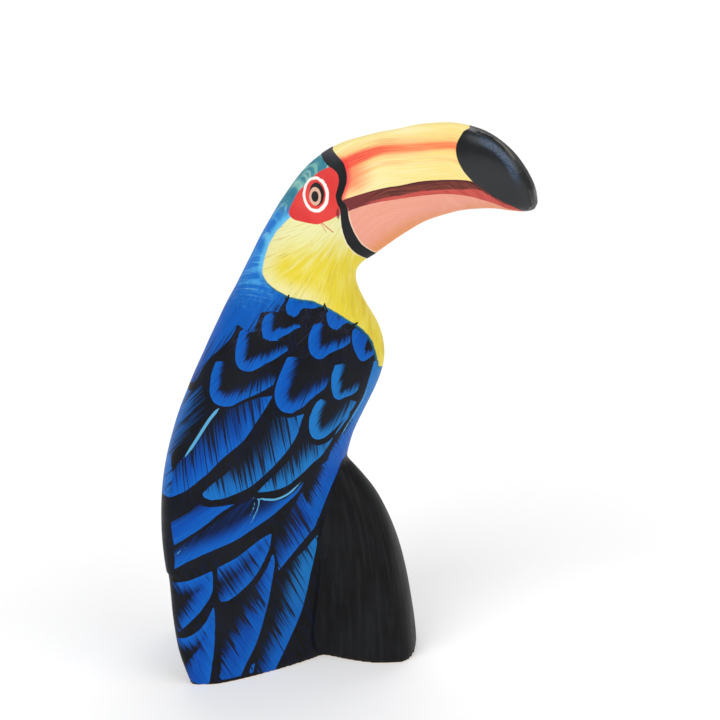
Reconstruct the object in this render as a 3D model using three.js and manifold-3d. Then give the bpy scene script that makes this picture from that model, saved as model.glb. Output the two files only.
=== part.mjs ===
// A carved wooden toucan that stands on its own flat-cut underside.
// One block of wood: folded wings that spread like a cape at the foot, a block of legs and
// belly in front of them, and a neck that bends over into a heavy, down-curved beak.
// Millimetres, +Z up, the beak points along +X. The origin is on the underside.
import * as THREE from "three";
import { mergeVertices } from "three/addons/utils/BufferGeometryUtils.js";
import Module from "manifold-3d";

// Driving dimensions, in millimetres.
const FIGURE_HEIGHT = 300;
const BODY_THICKNESS = 80;
const WING_SPREAD_AT_FOOT = 94;
const NECK_THICKNESS = 52;
const HEAD_THICKNESS = 51;
const BEAK_THICKNESS = 31;
const LEG_BLOCK_THICKNESS = 56;
const FOOT_EDGE_BEVEL = 1.6;

// How finely the faceted solid follows the form.
const RINGS_PER_STATION = 3;
const BODY_FACETS_AROUND = 48;
const LEG_FACETS_AROUND = 36;

// The side view of the carving, as shares of its height. Each station is a cut through the
// wood from the back of the bird to its front: back and front are the [x, z] ends of the cut,
// half is its half thickness in mm, fullest is where along the cut it is thickest (0 back,
// 1 front), and rear and fore are how square the outline is on either side of that place
// (2 is an ellipse, more is flatter flanks with rounded corners, less is a wedge).
const body = BODY_THICKNESS / 2;
const spread = WING_SPREAD_AT_FOOT / 2;
const neck = NECK_THICKNESS / 2;
const head = HEAD_THICKNESS / 2;
const beak = BEAK_THICKNESS / 2;

const BIRD_STATIONS = [
  { back: [-0.223, 0.000], front: [0.056, 0.000], half: spread, fullest: 0.16, rear: 3.4, fore: 1.6 },
  { back: [-0.242, 0.069], front: [0.059, 0.069], half: spread * 0.985, fullest: 0.17, rear: 3.3, fore: 1.65 },
  { back: [-0.251, 0.159], front: [0.061, 0.159], half: spread * 0.96, fullest: 0.2, rear: 3, fore: 1.75 },
  { back: [-0.262, 0.258], front: [0.068, 0.258], half: spread * 0.93, fullest: 0.25, rear: 2.8, fore: 1.9 },
  { back: [-0.260, 0.357], front: [0.078, 0.357], half: body * 1.03, fullest: 0.32, rear: 2.5, fore: 2.1 },
  { back: [-0.239, 0.446], front: [0.099, 0.436], half: body, fullest: 0.4, rear: 2.3, fore: 2.25 },
  { back: [-0.203, 0.535], front: [0.139, 0.515], half: body * 0.96, fullest: 0.46, rear: 2.2, fore: 2.2 },
  { back: [-0.169, 0.604], front: [0.161, 0.574], half: body * 0.89, fullest: 0.48, rear: 2.15, fore: 2.15 },
  { back: [-0.133, 0.674], front: [0.153, 0.631], half: body * 0.81, fullest: 0.48, rear: 2.1, fore: 2.1 },
  { back: [-0.096, 0.738], front: [0.128, 0.679], half: neck * 1.11, fullest: 0.47, rear: 2.1, fore: 2.1 },
  { back: [-0.057, 0.809], front: [0.113, 0.716], half: neck * 1.02, fullest: 0.46, rear: 2.1, fore: 2.1 },
  { back: [-0.013, 0.878], front: [0.112, 0.727], half: head, fullest: 0.46, rear: 2.15, fore: 2.15 },
  { back: [0.026, 0.925], front: [0.113, 0.740], half: head * 0.92, fullest: 0.46, rear: 2.2, fore: 2.2 },
  { back: [0.061, 0.954], front: [0.124, 0.754], half: beak * 1.25, fullest: 0.46, rear: 2.4, fore: 2.4 },
  { back: [0.106, 0.974], front: [0.151, 0.770], half: beak * 1.05, fullest: 0.46, rear: 2.6, fore: 2.6 },
  { back: [0.185, 0.990], front: [0.190, 0.796], half: beak * 0.97, fullest: 0.46, rear: 2.8, fore: 2.7 },
  { back: [0.259, 1.000], front: [0.238, 0.824], half: beak * 0.92, fullest: 0.46, rear: 2.8, fore: 2.7 },
  { back: [0.321, 0.995], front: [0.282, 0.837], half: beak * 0.87, fullest: 0.46, rear: 2.8, fore: 2.7 },
  { back: [0.377, 0.968], front: [0.323, 0.844], half: beak * 0.8, fullest: 0.46, rear: 2.8, fore: 2.7 },
  { back: [0.417, 0.925], front: [0.363, 0.843], half: beak * 0.7, fullest: 0.46, rear: 2.7, fore: 2.6 },
  { back: [0.441, 0.878], front: [0.400, 0.837], half: beak * 0.55, fullest: 0.46, rear: 2.5, fore: 2.4 },
  { back: [0.444, 0.846], front: [0.421, 0.834], half: beak * 0.34, fullest: 0.46, rear: 2.2, fore: 2.2 },
];
const BEAK_TIP = [0.437, 0.837];

const leg = LEG_BLOCK_THICKNESS / 2;
const LEG_STATIONS = [
  { back: [-0.061, 0.000], front: [0.205, 0.000], half: leg, fullest: 0.83, rear: 3.3, fore: 2.1 },
  { back: [-0.061, 0.059], front: [0.201, 0.059], half: leg, fullest: 0.82, rear: 3.2, fore: 2.1 },
  { back: [-0.056, 0.139], front: [0.191, 0.139], half: leg * 0.95, fullest: 0.8, rear: 3, fore: 2.1 },
  { back: [-0.052, 0.218], front: [0.174, 0.218], half: leg * 0.86, fullest: 0.76, rear: 2.8, fore: 2.1 },
  { back: [-0.047, 0.297], front: [0.144, 0.297], half: leg * 0.72, fullest: 0.7, rear: 2.5, fore: 2.1 },
  { back: [-0.042, 0.357], front: [0.104, 0.357], half: leg * 0.56, fullest: 0.62, rear: 2.2, fore: 2.05 },
  { back: [-0.031, 0.406], front: [0.058, 0.406], half: leg * 0.34, fullest: 0.5, rear: 2, fore: 2 },
];
const LEG_TOP = [0.02, 0.43];

// One closed outline round a cut, thickest at its fullest place.
function ringAt(cut, around) {
  const ring = [];
  const lean = Math.log(cut.fullest) / Math.log(0.5);
  for (let i = 0; i < around; i += 1) {
    const turn = (2 * Math.PI * i) / around;
    const power = 2 / (Math.cos(turn) < 0 ? cut.rear : cut.fore);
    const along = Math.sign(Math.cos(turn)) * Math.abs(Math.cos(turn)) ** power;
    const across = Math.sign(Math.sin(turn)) * Math.abs(Math.sin(turn)) ** power;
    const share = ((1 + along) / 2) ** lean;
    ring.push(new THREE.Vector3(
      THREE.MathUtils.lerp(cut.back.x, cut.front.x, share),
      cut.half * across,
      THREE.MathUtils.lerp(cut.back.z, cut.front.z, share),
    ));
  }
  return ring;
}

// The cuts between the stations, on smooth rails through them.
function cutsThrough(stations) {
  const point = ([x, z]) => new THREE.Vector3(x, 0, z).multiplyScalar(FIGURE_HEIGHT);
  const back = new THREE.CatmullRomCurve3(stations.map((s) => point(s.back)));
  const front = new THREE.CatmullRomCurve3(stations.map((s) => point(s.front)));
  const girth = new THREE.SplineCurve(stations.map((s) => new THREE.Vector2(s.half, s.fullest)));
  const square = new THREE.SplineCurve(stations.map((s) => new THREE.Vector2(s.rear, s.fore)));
  const steps = (stations.length - 1) * RINGS_PER_STATION;
  return Array.from({ length: steps + 1 }, (_, i) => {
    const { x: half, y: fullest } = girth.getPoint(i / steps);
    const { x: rear, y: fore } = square.getPoint(i / steps);
    return { back: back.getPoint(i / steps), front: front.getPoint(i / steps), half, fullest, rear, fore };
  });
}

// A closed skin over the rings, flat below and drawn to a point at the top.
function skinOver(rings, tip) {
  const around = rings[0].length;
  const points = rings.flat();
  const foot = points.push(rings[0].reduce((sum, p) => sum.add(p), new THREE.Vector3())
    .divideScalar(around)) - 1;
  const top = points.push(new THREE.Vector3(tip[0], 0, tip[1]).multiplyScalar(FIGURE_HEIGHT)) - 1;
  const faces = [];
  for (let i = 0; i < around; i += 1) {
    const j = (i + 1) % around;
    faces.push(foot, j, i);
    for (let r = 0; r < rings.length - 1; r += 1) {
      const low = r * around;
      const high = low + around;
      faces.push(low + i, low + j, high + j, low + i, high + j, high + i);
    }
    const last = (rings.length - 1) * around;
    faces.push(last + i, last + j, top);
  }
  const geometry = new THREE.BufferGeometry().setFromPoints(points);
  geometry.setIndex(faces);
  return geometry;
}

// The foot's sharp edge taken off all round: the lowest ring is drawn in and a ring added above.
function withBevelledFoot(rings) {
  const middle = rings[0].reduce((sum, p) => sum.add(p), new THREE.Vector3())
    .divideScalar(rings[0].length);
  const inset = rings[0].map((p) => {
    const inward = middle.clone().sub(p).setLength(FOOT_EDGE_BEVEL);
    return p.clone().add(inward);
  });
  const edge = rings[0].map((p) => p.clone().setZ(FOOT_EDGE_BEVEL));
  return [inset, edge, ...rings.slice(1)];
}

const wasm = await Module();
wasm.setup();

function solidOf(geometry) {
  const bare = mergeVertices(geometry);
  return new wasm.Manifold(new wasm.Mesh({
    numProp: 3,
    vertProperties: bare.attributes.position.array,
    triVerts: Uint32Array.from(bare.index.array),
  }));
}

function geometryOf(solid) {
  const mesh = solid.getMesh();
  const geometry = new THREE.BufferGeometry();
  geometry.setAttribute("position", new THREE.BufferAttribute(mesh.vertProperties, 3));
  geometry.setIndex(new THREE.BufferAttribute(mesh.triVerts, 1));
  geometry.computeVertexNormals();
  return geometry;
}

function carvedForm(stations, tip, around) {
  const rings = cutsThrough(stations).map((cut) => ringAt(cut, around));
  return solidOf(skinOver(withBevelledFoot(rings), tip));
}

function toucan() {
  const bird = carvedForm(BIRD_STATIONS, BEAK_TIP, BODY_FACETS_AROUND);
  const legs = carvedForm(LEG_STATIONS, LEG_TOP, LEG_FACETS_AROUND);
  const paintedWood = new THREE.MeshStandardMaterial({
    color: new THREE.Color(0.05, 0.24, 0.62),
    roughness: 0.42,
    metalness: 0,
  });
  const mesh = new THREE.Mesh(geometryOf(bird.add(legs)), paintedWood);
  mesh.name = "toucan_carving";
  return mesh;
}

const figurine = new THREE.Group();
figurine.add(toucan());

export default figurine;
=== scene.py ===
import math

import bpy
import numpy as np
from mathutils import Matrix, Vector


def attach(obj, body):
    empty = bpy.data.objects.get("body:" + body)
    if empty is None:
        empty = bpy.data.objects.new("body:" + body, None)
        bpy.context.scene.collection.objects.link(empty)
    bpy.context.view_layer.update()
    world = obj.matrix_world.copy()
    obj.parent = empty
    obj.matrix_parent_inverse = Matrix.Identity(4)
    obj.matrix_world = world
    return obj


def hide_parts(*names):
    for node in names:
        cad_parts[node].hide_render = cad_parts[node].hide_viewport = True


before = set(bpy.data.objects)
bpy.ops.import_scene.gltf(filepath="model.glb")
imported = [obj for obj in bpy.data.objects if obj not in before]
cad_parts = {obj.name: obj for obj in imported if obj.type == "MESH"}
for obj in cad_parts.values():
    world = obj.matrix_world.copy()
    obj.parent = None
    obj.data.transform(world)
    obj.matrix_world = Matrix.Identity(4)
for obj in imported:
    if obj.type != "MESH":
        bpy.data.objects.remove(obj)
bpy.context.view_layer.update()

# The block of wood. The toucan is sawn and knife-carved from one piece of light wood, then
# sanded: long soft forms, a knife-cut groove where the folded wings meet the leg block, a
# crisp sawn foot, and a flat cheek with a bevelled rim on the tip of the beak.
WOOD_GRID = 0.00175     # in metres; the carving's other sizes are in millimetres
FOOT_CREASE = 0.85      # how far the smoothing keeps the foot's edge, from 0 to 1
SAW_CUT = 1.2           # the saw's clean edge is made from what lies below this
FOOT_BLEND = 8          # and the sides above it are stretched down from here
KNIFE_FROM = 5          # no knife mark is full depth below this
GROOVE_DEEP = 0.9
RIM_DEEP = 0.75
CHEEK_DEEP = 0.35
BACK_STEP_DEEP = 0.9
BAND_PROUD = 0.22
KNIFE_WAVE = 0.10
REFINE_NEAR_EDGE = 1.15

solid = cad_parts["toucan_carving"]
bpy.ops.object.select_all(action="DESELECT")
carving = bpy.data.objects.new("carved_toucan", solid.data.copy())
bpy.context.scene.collection.objects.link(carving)
carving.data.materials.clear()
carving.select_set(True)
bpy.context.view_layer.objects.active = carving

bpy.ops.object.mode_set(mode="EDIT")
bpy.ops.mesh.select_all(action="SELECT")
bpy.ops.mesh.remove_doubles(threshold=0.00001)
bpy.ops.mesh.tris_convert_to_quads()
bpy.ops.mesh.select_all(action="DESELECT")
bpy.ops.object.mode_set(mode="OBJECT")


def pick_foot_edge():
    """Selects the edges round the flat foot, and stays in edit mode."""
    for face in carving.data.polygons:
        face.select = face.center.z < 0.0001
    bpy.ops.object.mode_set(mode="EDIT")
    bpy.ops.mesh.region_to_loop()


pick_foot_edge()
bpy.ops.transform.edge_crease(value=FOOT_CREASE)
bpy.ops.object.mode_set(mode="OBJECT")


def worked(kind, **settings):
    """Adds a modifier to the carving with these settings and applies it."""
    bpy.ops.object.modifier_add(type=kind)
    step = carving.modifiers[-1]
    for name, value in settings.items():
        setattr(step, name, value)
    bpy.ops.object.modifier_apply(modifier=step.name)


worked("SUBSURF", levels=2, render_levels=2)
worked("REMESH", mode="VOXEL", voxel_size=WOOD_GRID)
worked("SMOOTH", factor=0.5, iterations=5)
bpy.ops.object.mode_set(mode="EDIT")
bpy.ops.mesh.select_all(action="SELECT")
bpy.ops.mesh.bisect(plane_co=(0, 0, SAW_CUT / 1000), plane_no=(0, 0, 1))
bpy.ops.mesh.select_all(action="DESELECT")
bpy.ops.object.mode_set(mode="OBJECT")


def places(mesh):
    """The vertices of a mesh, in millimetres."""
    flat = np.zeros(len(mesh.vertices) * 3)
    mesh.vertices.foreach_get("co", flat)
    return flat.reshape(-1, 3) * 1000


def curve(points, pieces=5):
    """A smooth line through given points."""
    p = np.array(points, float)
    p = np.vstack([2 * p[0] - p[1], p, 2 * p[-1] - p[-2]])
    out = []
    for i in range(1, len(p) - 2):
        for t in np.arange(pieces) / pieces:
            out.append(0.5 * (2 * p[i] + (p[i + 1] - p[i - 1]) * t
                              + (2 * p[i - 1] - 5 * p[i] + 4 * p[i + 1] - p[i + 2]) * t * t
                              + (3 * p[i] - p[i - 1] - 3 * p[i + 1] + p[i + 2]) * t ** 3))
    out.append(p[-2])
    return np.array(out)


def nearest(spots, line):
    """How far each spot is from a line, and how far along the line the nearest place is."""
    reach = np.full(len(spots), 1e6)
    along = np.zeros(len(spots))
    run = 0.0
    for a, b in zip(line[:-1], line[1:]):
        ab = b - a
        length = math.hypot(*ab)
        if length < 1e-6:
            continue
        t = np.clip((spots - a) @ ab / length ** 2, 0, 1)
        d = np.hypot(*(spots - a - t[:, None] * ab).T)
        closer = d < reach
        reach[closer] = d[closer]
        along[closer] = run + t[closer] * length
        run += length
    return reach, along


def within(spots, outline):
    """Signed distance to a closed outline, positive inside it."""
    reach, _ = nearest(spots, np.vstack([outline, outline[:1]]))
    inside = np.zeros(len(spots), bool)
    for a, b in zip(outline, np.roll(outline, -1, axis=0)):
        crosses = (a[1] > spots[:, 1]) != (b[1] > spots[:, 1])
        rise = b[1] - a[1] if b[1] != a[1] else 1e-9
        inside ^= crosses & (spots[:, 0] < a[0] + (spots[:, 1] - a[1]) * (b[0] - a[0]) / rise)
    return np.where(inside, reach, -reach)


def ease(value, start, end):
    """0 before start, 1 after end, and smooth between."""
    t = np.clip((value - start) / (end - start), 0, 1)
    return t * t * (3 - 2 * t)


# The carved lines in side view, (x, z): the groove, and the rim of the beak's tip.
GROOVE = [(25.3, 119.7), (21.1, 110.9), (18.6, 105.3), (14.3, 91.6), (10.3, 76.7), (8.8, 52.1),
          (4.2, 23.4), (3.2, 11.2), (6.4, 0)]
TIP_RIM = [(96.8, 297.7), (102, 295.2), (107.3, 292.4), (112.2, 289), (116, 285.2),
           (119.6, 280.4), (122.2, 275.2), (124.4, 270), (126.3, 264.5), (127.6, 259.6),
           (128.8, 254.6)]
CHEEK_CORNERS = [(124, 240), (60, 240), (60, 293)]

# The feathers, painted freehand with a flat brush over black, and alike on both sides. Their
# places are on the side of the bird rolled out flat, (p, z).
# At these heights, half the body's thickness and the x of its thickest place.
ROLL_Z = [0, 21, 48, 77, 107, 133, 158, 177, 196, 212]
ROLL_HALF = [47, 46.3, 45.1, 43.7, 41.2, 40, 38.4, 35.6, 32.4, 28.9]
ROLL_X = [-53.5, -57.2, -56.6, -53.9, -45.6, -31.1, -13.7, -3.2, 5.0, 6.0]
FLAT_SIDE = 0.8


def rolled_out(spots):
    """The bird's side rolled flat: round the back and the breast it keeps its true width."""
    x, y, z = spots.T
    half = np.interp(z, ROLL_Z, ROLL_HALF)
    dx = x - np.interp(z, ROLL_Z, ROLL_X)
    dy = np.maximum(half - np.abs(y) - FLAT_SIDE, 0)
    turn = dy * dy / (np.sqrt(dx * dx + dy * dy) + np.abs(dx) + 1e-6)
    return np.column_stack([x + np.sign(dx) * turn, z])


# A feather's outline is its tip, a line along its bright edge, and its root, which goes back
# round in the dark.
#   bright: how far the blue stays pure behind the tip, at even steps along it
#   fade: how far it then takes to break up into the black, one value or even steps
#   barbs: how steeply its strokes run down to the right, in degrees, or "fan" for a fan
#   bold: how much broader its strokes are; soft: its strokes are smoothed away
#   tone: 1 is a lighter and -1 a deeper blue, one value or heights and their values
#   rim: 0 is the blue of the tip's edge and 1 the blue behind it, where it is one all over
FEATHERS = {
    "shoulder_1": {
        "tip": [(-2.2, 213.6), (-3.7, 210.6), (-3.6, 207), (-2.2, 204.6), (0, 203.9),
                (2.3, 205.1), (3.7, 207.2), (6.1, 208.2), (10.1, 207.6), (12.8, 208)],
        "root": [(14.7, 209), (8.9, 211.5), (3.6, 212.7), (0, 213.5)],
        "bright": [7, 7, 7, 7, 7, 6, 4.5, 3, 2.4, 1.8],
        "fade": 2.6, "barbs": 80, "tone": 0,
    },
    "shoulder_2": {
        "tip": [(-15.4, 204.5), (-17.1, 200.6), (-17.4, 197.2), (-16.7, 193.7), (-14.9, 191.6),
                (-12.3, 190.9), (-9.5, 192.1), (-6.8, 193.8), (-3.2, 195.3), (0.4, 197.5),
                (3.5, 198.5)],
        "root": [(1.7, 202.8), (-4, 206.6), (-9.9, 207.1)],
        "bright": [4.1, 4.6, 5, 5, 5, 5, 4.6, 3.7, 2.3, 1.8, 0.4],
        "fade": [2, 2, 2, 1.6], "barbs": "fan", "tone": 0,
    },
    "shoulder_3": {
        "tip": [(18.5, 206.4), (17.6, 203.6), (17.9, 200.2), (19.6, 197), (22.3, 195.3),
                (24.7, 196.3), (27.8, 197.9), (30.9, 198.2)],
        "root": [(29.7, 198.9), (25.2, 202.4), (21.2, 205)],
        "bright": [8, 8, 8, 8, 7, 5, 3.6, 2.6],
        "fade": [3, 2, 3], "barbs": "fan", "tone": 0,
    },
    "shoulder_4": {
        "tip": [(32, 193.5), (31.3, 189.7), (31.8, 185.2), (33.6, 180.5), (35.7, 177.2),
                (38.6, 176.3), (42.1, 177.4), (44.6, 178.1)],
        "root": [(45.2, 180.6), (43.4, 184.8), (40.7, 188.8), (37.3, 192.1), (34, 194.6)],
        "bright": [10, 10, 10, 9, 7, 4.5, 2.6, 1.6],
        "fade": [3, 2, 3], "barbs": "fan", "tone": 0,
    },
    "covert_1": {
        "tip": [(-29.9, 195.8), (-30.9, 193.2), (-32.2, 188.5), (-32.7, 184.3), (-32.5, 180.1),
                (-30.6, 176.9), (-27.3, 175.6), (-23.6, 175.7), (-20, 177.3), (-16.3, 179.5),
                (-12.6, 181.2), (-8.1, 183.8), (-3.6, 186.7)],
        "root": [(-5.2, 191), (-10.5, 192.1), (-17.4, 193.1), (-21.8, 195.4), (-25.7, 197.7)],
        "bright": [3.8, 4.7, 5.1, 5.1, 5.6, 5.1, 5.1, 4.7, 3.4, 2.6, 1.7, 1.3, 0.4],
        "fade": [3, 2.6, 2.6, 4.5, 4.5], "barbs": "fan", "tone": 0,
    },
    "covert_2": {
        "tip": [(10.3, 199.1), (8.1, 195), (7.2, 190.6), (7.5, 186.2), (9.1, 183),
                (11.7, 181.2), (14.4, 181.1), (17.6, 183.1), (21.3, 184.5), (25.1, 185.4),
                (30, 187.6)],
        "root": [(30.3, 192.1), (25.1, 193.7), (19.1, 197.3), (14.3, 200.1)],
        "bright": [3.4, 4.7, 5.1, 5.1, 5.1, 5.1, 4.3, 3, 2.2, 1.3, 0.9],
        "fade": [3, 2.6, 3, 4.5, 4.5], "barbs": "fan", "tone": 0,
    },
    "covert_3": {
        "tip": [(-45.3, 178.4), (-47.4, 173.3), (-48.1, 168.3), (-48.2, 164.3), (-47.3, 161.1),
                (-45.2, 158.5), (-41.8, 157.2), (-38, 156.9), (-34.3, 157.8), (-30.5, 159.8),
                (-26.8, 161.7), (-21.4, 163.8), (-16.8, 166), (-12.3, 168.5)],
        "root": [(-9.5, 174.8), (-12.7, 176.4), (-19.2, 173.8), (-25.8, 171.6), (-31.3, 172.4),
                 (-35.9, 176.6), (-41, 179.5)],
        "bright": [3.1, 4.1, 4.6, 5, 5.4, 5.4, 5, 4.6, 3.7, 2.3, 1.8, 1.4, 0.9, 0.4],
        "fade": [3.5, 2.8, 3.4, 6, 7], "barbs": "fan", "tone": 0,
    },
    "covert_4": {
        "tip": [(-4.1, 183.1), (-7.5, 176.3), (-9.5, 172), (-11.5, 165.8), (-11.7, 161.4),
                (-10.5, 156.8), (-7.6, 153.9), (-3.2, 152.7), (-0.4, 154.1), (3.2, 155.9),
                (6.9, 159.3), (11.5, 162.5), (15.2, 164.9)],
        "root": [(18.1, 170.2), (17.7, 176.3), (11.9, 178.7), (5, 180.3), (0.4, 182.9)],
        "bright": [3.4, 4.7, 5.1, 6, 6, 6, 5.6, 4.7, 3.4, 2.6, 1.7, 1.3, 0.9],
        "fade": [4, 2.8, 3, 5.5, 6.5], "barbs": "fan", "tone": 0,
    },
    "covert_5": {
        "tip": [(21, 176.7), (19.2, 171.7), (18.7, 166.3), (19.3, 161.5), (20.7, 158.4),
                (23.5, 157.1), (26.5, 158), (30.5, 158.4), (34.6, 160.4)],
        "root": [(36.1, 166), (35.7, 172.4), (30.6, 175.3), (25.5, 177.2)],
        "bright": [3.3, 3.9, 3.9, 4.3, 3.9, 3.3, 2.4, 1.4, 1],
        "fade": [3, 2.6, 3, 5], "barbs": "fan", "tone": 0.7,
    },
    "covert_6": {
        "tip": [(10.4, 157.6), (7.6, 152.6), (6.1, 147.9), (5.9, 143.1), (7.2, 137.9),
                (10, 135.7), (13.9, 135.6), (17.8, 137.8), (21.9, 140.9), (26.9, 144.9),
                (31, 149), (34, 153.3)],
        "root": [(29.5, 155.6), (25.3, 154.2), (20, 154.6), (15.6, 157.7), (12.9, 159.2)],
        "bright": [3, 3.5, 4.1, 4.1, 4.1, 3.5, 2.6, 2, 1.5, 1.5, 1.5, 1],
        "fade": [3, 3, 4, 6, 7], "barbs": "fan", "tone": 1,
    },
    "long_1_rear": {
        "tip": [(-86.2, 163.2), (-90.3, 157.8), (-102.4, 145), (-107.6, 132.1), (-108.8, 121.4),
                (-106, 111.7)],
        "root": [(-104.4, 106.2), (-74, 106.6), (-71.6, 110.6), (-70.1, 118), (-72.4, 123.8),
                 (-71.7, 129.4), (-65.7, 135.4), (-59.8, 141.9), (-53.6, 148.8), (-48.8, 153.4),
                 (-49, 158.3), (-52, 162), (-54.5, 165.5), (-58.5, 163), (-64, 160.4),
                 (-71, 159.8), (-78, 160.6)],
        "bright": [20, 24, 30, 34, 34, 35],
        "fade": [17, 17, 15, 13, 13, 13], "barbs": 140, "tone": 0.45, "rim": 0.3,
    },
    "long_1": {
        "tip": [(-13, 162.7), (-16.3, 157.1), (-20.1, 151.7), (-23.9, 146.4), (-27.7, 141),
                (-31.5, 137.1), (-37.1, 132.6), (-42.7, 128), (-48.4, 122.3), (-54.1, 117.6),
                (-59.8, 113.1), (-65.6, 109.5), (-73.2, 106.3)],
        "root": [(-72, 113), (-69.6, 121.1), (-64.4, 127.7), (-58.2, 135.2), (-52.3, 143),
                 (-46.4, 150.1), (-41.8, 155), (-34.5, 156.4), (-27.8, 159.2), (-20.7, 161.8)],
        "bright": [2.1, 2.1, 2.7, 3.2, 3.7, 4.3, 4.8, 5.4, 5.9, 6.4, 6.4, 5.4, 4.3],
        "fade": 16.1, "barbs": 84, "tone": 0,
    },
    "long_2": {
        "tip": [(3.4, 151.7), (1.6, 147.3), (-0.8, 140.1), (-4.9, 133.5), (-8.9, 128.7),
                (-14.5, 122.9), (-21.8, 116.6), (-27.4, 112.5), (-32.9, 110.1), (-41.1, 107.2),
                (-48.2, 106.4), (-52.2, 107.9)],
        "root": [(-53.4, 109.9), (-47.7, 115), (-40.4, 120.4), (-33.7, 126.6), (-27.4, 133.1),
                 (-22.3, 139.5), (-16.6, 147), (-11.1, 151.2), (-4.2, 150.2)],
        "bright": [2.1, 2.1, 2.1, 2.1, 2.1, 2.1, 2.1, 2.7, 3.2, 4.3, 4.8, 4.3],
        "fade": 14.4, "barbs": 82, "tone": 0.6,
    },
    "long_3": {
        "tip": [(29.9, 148), (25.7, 142.9), (21, 136.5), (16.9, 130), (12.7, 124.8),
                (7.9, 121.6), (3.2, 117.6), (-1.5, 114.3), (-5.5, 111.3), (-11.2, 109.3),
                (-17.8, 108.8), (-23.8, 108.9)],
        "root": [(-18.1, 114.5), (-11.4, 120.1), (-5.7, 125.9), (-0.5, 132.9), (2.9, 138.4),
                 (5.7, 134.9), (10.2, 131.9), (15.6, 132.2), (20.4, 135.4), (25.3, 140.4),
                 (29.6, 144.9)],
        "bright": [1.6, 1.6, 1.6, 1.6, 1.6, 2.1, 2.1, 2.1, 2.1, 2.1, 2.1, 2.1],
        "fade": 12.8, "barbs": 84, "tone": 1,
    },
    "broad_1": {
        "tip": [(-35.5, 103.7), (-38.7, 102), (-44.2, 98.8), (-49.9, 94.4), (-55.5, 90.4),
                (-62.1, 86.3), (-70.2, 81.2)],
        "root": [(-70.9, 85.9), (-71.4, 91.1), (-71.1, 94), (-66.1, 96.8), (-60.4, 100.1),
                 (-55.7, 103.8), (-51.2, 102.6), (-45.8, 102.4), (-40.4, 103)],
        "bright": [4.8, 6.4, 8, 9.1, 9.6, 10.2, 10.7],
        "fade": 5.9, "barbs": 150, "tone": 0, "soft": True,
    },
    "broad_2": {
        "tip": [(3.2, 111.7), (-1, 105.5), (-5.7, 101.7), (-10.9, 97.8), (-16.1, 94),
                (-21.8, 90.8), (-28.6, 87.1), (-34.2, 83.8), (-40.8, 81.1), (-49.6, 77.9),
                (-58.5, 74.3), (-66.4, 70.4), (-70.7, 67.6)],
        "root": [(-70.3, 73), (-69.8, 78.7), (-62.3, 83.9), (-54.5, 88.8), (-46.6, 94),
                 (-38.8, 99.7), (-31.6, 103.4), (-24.5, 106.1), (-19.6, 104), (-13.6, 102.5),
                 (-7.9, 103.3), (-2.1, 107)],
        "bright": [4.3, 4.3, 4.3, 4.3, 4.8, 5.9, 6.4, 6.4, 5.9, 5.9, 5.9, 5.9, 5.9],
        "fade": 7, "barbs": 130, "tone": 0, "soft": True,
    },
    "leading_edge": {
        "tip": [(80.9, 171.6), (77.8, 166.2), (69.7, 147.2), (55.4, 131.2), (44.3, 120.7),
                (29.2, 116.7), (25.4, 110.9), (20.5, 104.3), (17.2, 97.8), (13.9, 90.7),
                (11.8, 86.1)],
        "root": [(7.5, 91.3), (3.8, 97.8), (1.6, 104.4), (3.6, 110.3), (6.1, 113.9),
                 (10.7, 115.3), (12.2, 118.6), (16.4, 120.6), (17.9, 123.7), (20.3, 129),
                 (24.4, 134.2), (28.4, 140.5), (32.4, 145.8), (36.1, 151), (39.1, 156.5),
                 (41, 163.1), (44, 172.1), (45.2, 174.6), (48.6, 172.6)],
        "bright": [48, 48, 48, 48, 48, 48, 26, 13, 9, 8, 7],
        "fade": 5.4, "barbs": 60, "tone": ([95, 112, 127, 145, 165], [0, -0.5, 0, 0.7, 0.95]),
        "rim": 0.2,
    },
    "primary_1": {
        "tip": [(-67.5, 60), (-62.5, 61.5), (-56.9, 63.6), (-52.7, 65.3), (-50.3, 66.1),
                (-50.1, 61.8), (-50.3, 56.4), (-51.7, 52.1), (-54.6, 47.5), (-58.1, 43),
                (-61.5, 39.6), (-67.4, 34)],
        "root": [(-71.1, 30.4), (-81.2, 32.1), (-86.1, 42.6), (-88.4, 51), (-89.2, 57.8),
                 (-73.1, 59.3)],
        "bright": [1.6, 3.2, 4.3, 5.4, 5.9, 6.4, 6.4, 5.9, 4.8, 3.7, 2.1, 1.1],
        "fade": 7, "barbs": 58, "bold": 1.7, "tone": 0,
    },
    "primary_2": {
        "tip": [(-67.7, 27.8), (-63.4, 29.6), (-58.6, 33), (-54.7, 37.7), (-52.1, 42.7),
                (-50.4, 45.1), (-50.2, 37.7), (-51, 26), (-52.3, 16.4), (-54.1, 6.9),
                (-55.1, 1.9)],
        "root": [(-55.7, 0.1), (-60.6, 0.1), (-65.4, 1.4), (-79.8, 1.8), (-81.5, 7.3),
                 (-83.3, 20.9), (-81.5, 26.8)],
        "bright": [2.1, 4.3, 4.8, 4.8, 4.8, 4.8, 6.4, 8, 9.1, 9.6, 9.6],
        "fade": 7, "barbs": 64, "bold": 1.7, "tone": 0,
    },
    "primary_3": {
        "tip": [(-47.2, 67.8), (-43.1, 69.7), (-38.4, 71.5), (-33.7, 74.2), (-29, 77.3),
                (-24.2, 80.5), (-19.4, 82.7), (-16.8, 83.3), (-17.1, 79.8), (-18, 75.5),
                (-20.1, 70.3), (-23.1, 64.9), (-26.2, 60.5), (-30.1, 56.4), (-33.9, 53.2),
                (-37.9, 50.3), (-42.5, 47.8)],
        "root": [(-46.4, 47.8), (-47.6, 51.5), (-47.4, 59.7)],
        "bright": [0.5, 1.1, 1.6, 2.1, 2.7, 3.2, 3.7, 4.3, 4.3, 4.3, 4.3, 3.7, 3.2, 3.2, 2.7,
                   1.6, 0.5],
        "fade": 11.8, "barbs": 62, "bold": 1.7, "tone": 0,
    },
    "primary_4": {
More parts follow.
